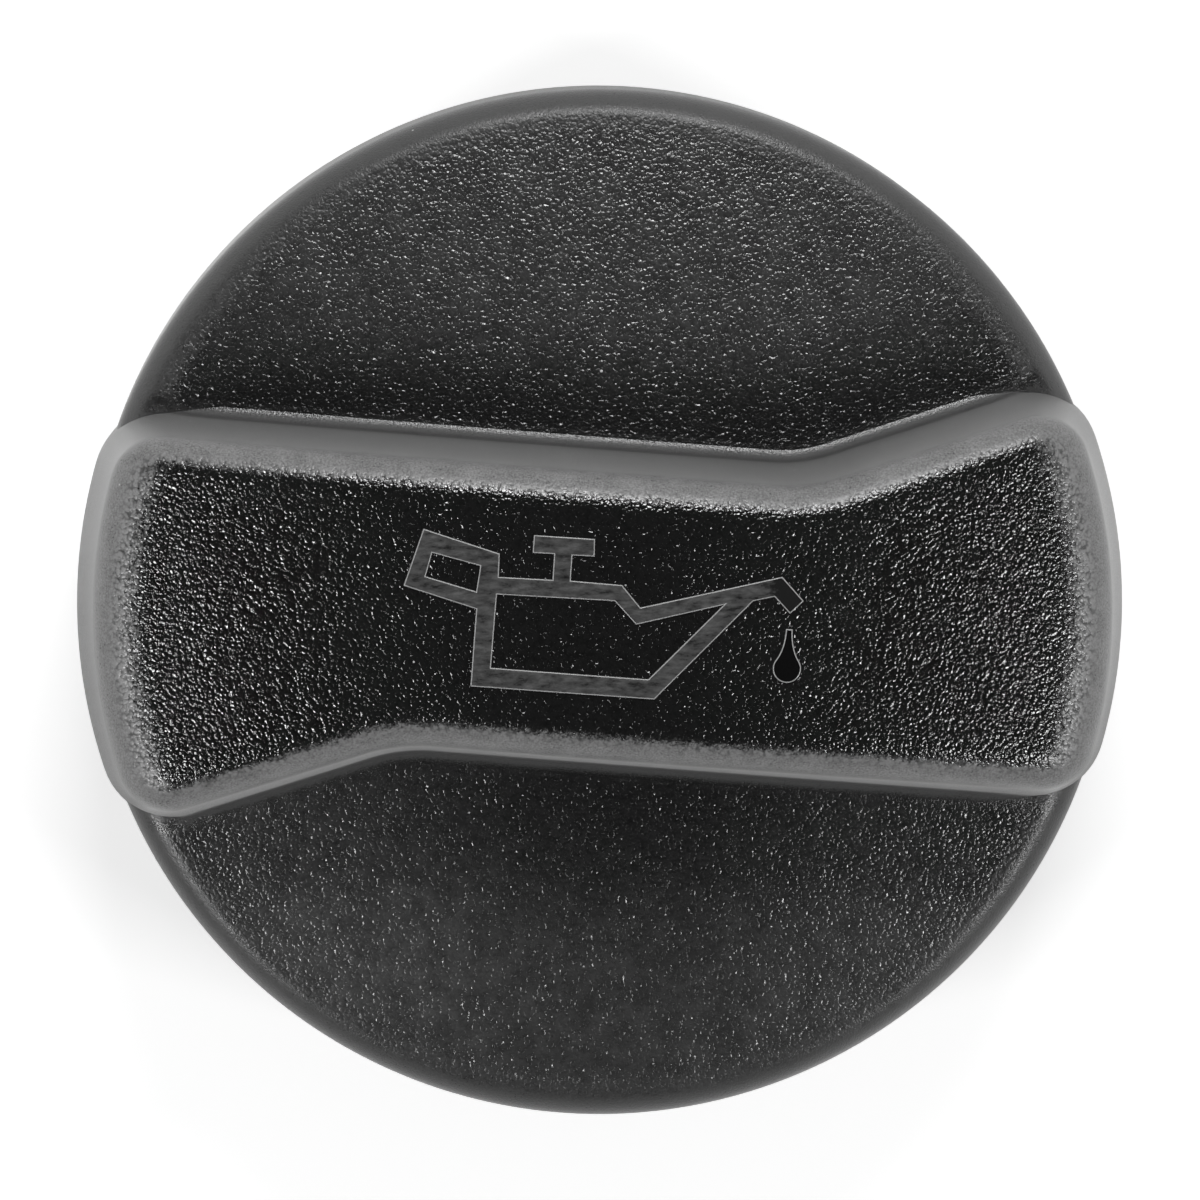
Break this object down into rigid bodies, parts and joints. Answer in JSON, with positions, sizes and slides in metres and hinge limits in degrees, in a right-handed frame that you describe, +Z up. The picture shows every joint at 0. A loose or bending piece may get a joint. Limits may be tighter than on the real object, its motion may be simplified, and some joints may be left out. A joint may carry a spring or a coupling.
{
  "type": "oil filler cap",
  "caption": "Black moulded engine oil filler cap: an S-shaped grip across a domed disc with a skirt, over a bayonet plug and a rubber seal ring.",
  "frame": {"origin": "centre of the plug's open end, on the surface that the cap stands on", "axes": "+Z up through the grip, +X along the grip, +Y across it"},
  "size_m": [0.0628, 0.062, 0.0362],
  "materials": {
    "shell": "moulded glass-filled nylon, fine grain on the upward faces and satin walls",
    "plug": "moulded nylon, satin",
    "seal": "moulded nitrile rubber, dull"
  },
  "bodies": {
    "root": {"cap_shell": "shell", "bayonet_plug": "plug", "seal_ring": "seal"}
  },
  "joints": []
}
